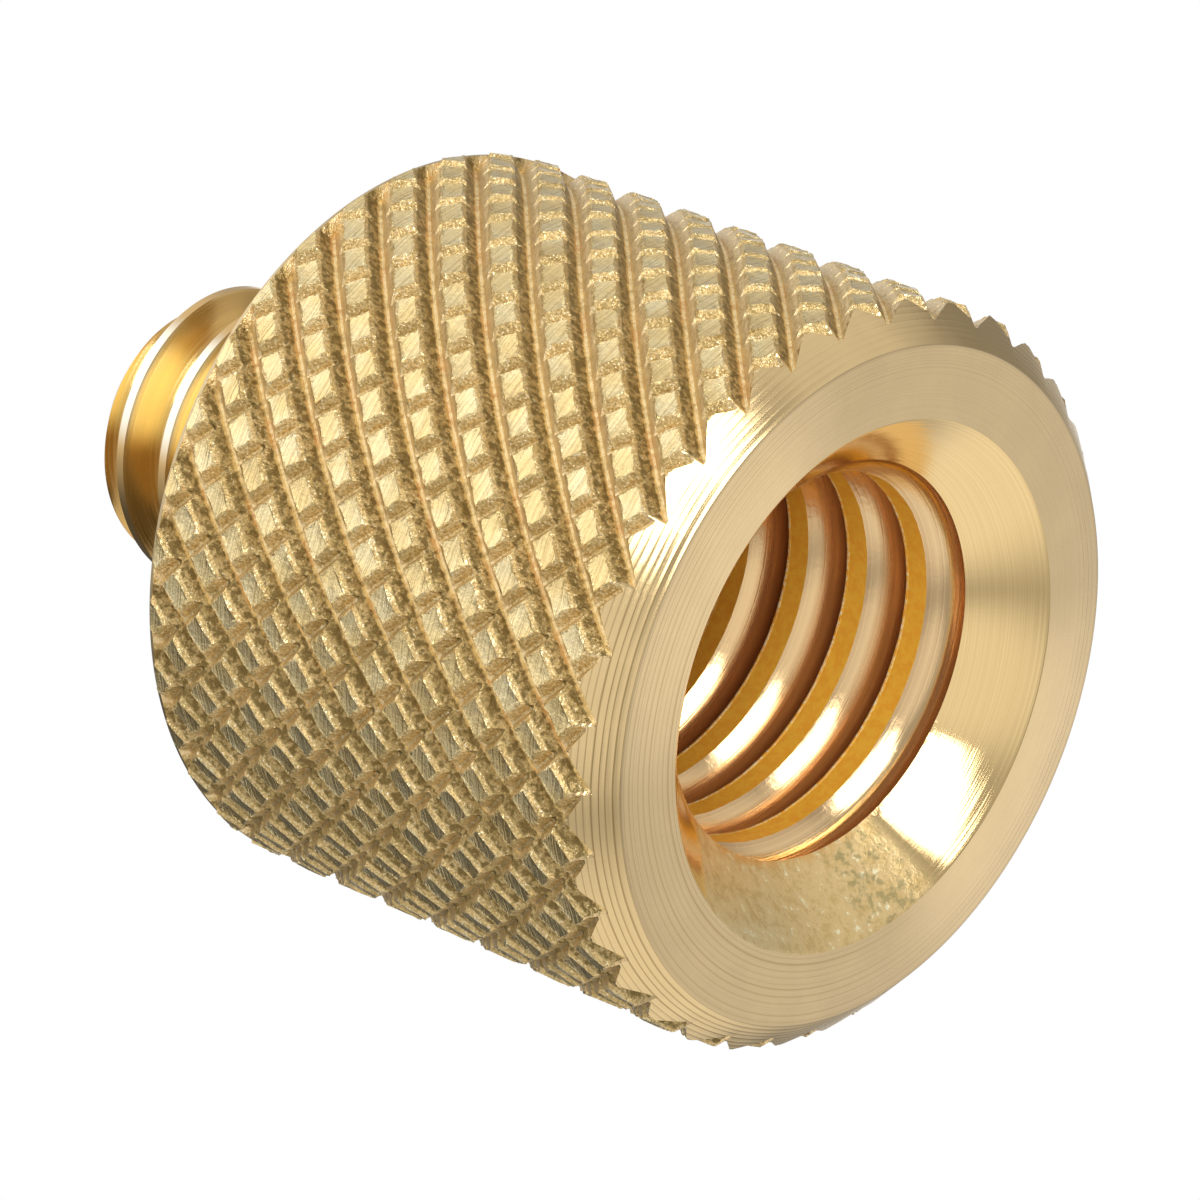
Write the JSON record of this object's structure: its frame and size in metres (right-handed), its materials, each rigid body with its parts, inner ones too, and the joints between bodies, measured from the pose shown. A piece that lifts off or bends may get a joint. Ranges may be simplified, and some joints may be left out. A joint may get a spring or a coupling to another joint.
{
  "type": "tripod thread adapter",
  "caption": "Short knurled brass cylinder with a countersunk blind female thread in one end and a smaller threaded stud standing on the other.",
  "frame": {"origin": "centre of the flat ring at the female end, on which the part stands", "axes": "+Z along the common axis of both threads, from the female thread towards the stud; X and Y are free, and -Y faces the camera of the picture"},
  "size_m": [0.0152, 0.0152, 0.0194],
  "materials": {
    "brass": "machined and knurled, unplated"
  },
  "bodies": {
    "root": {"adapter_body": "brass"}
  },
  "joints": []
}
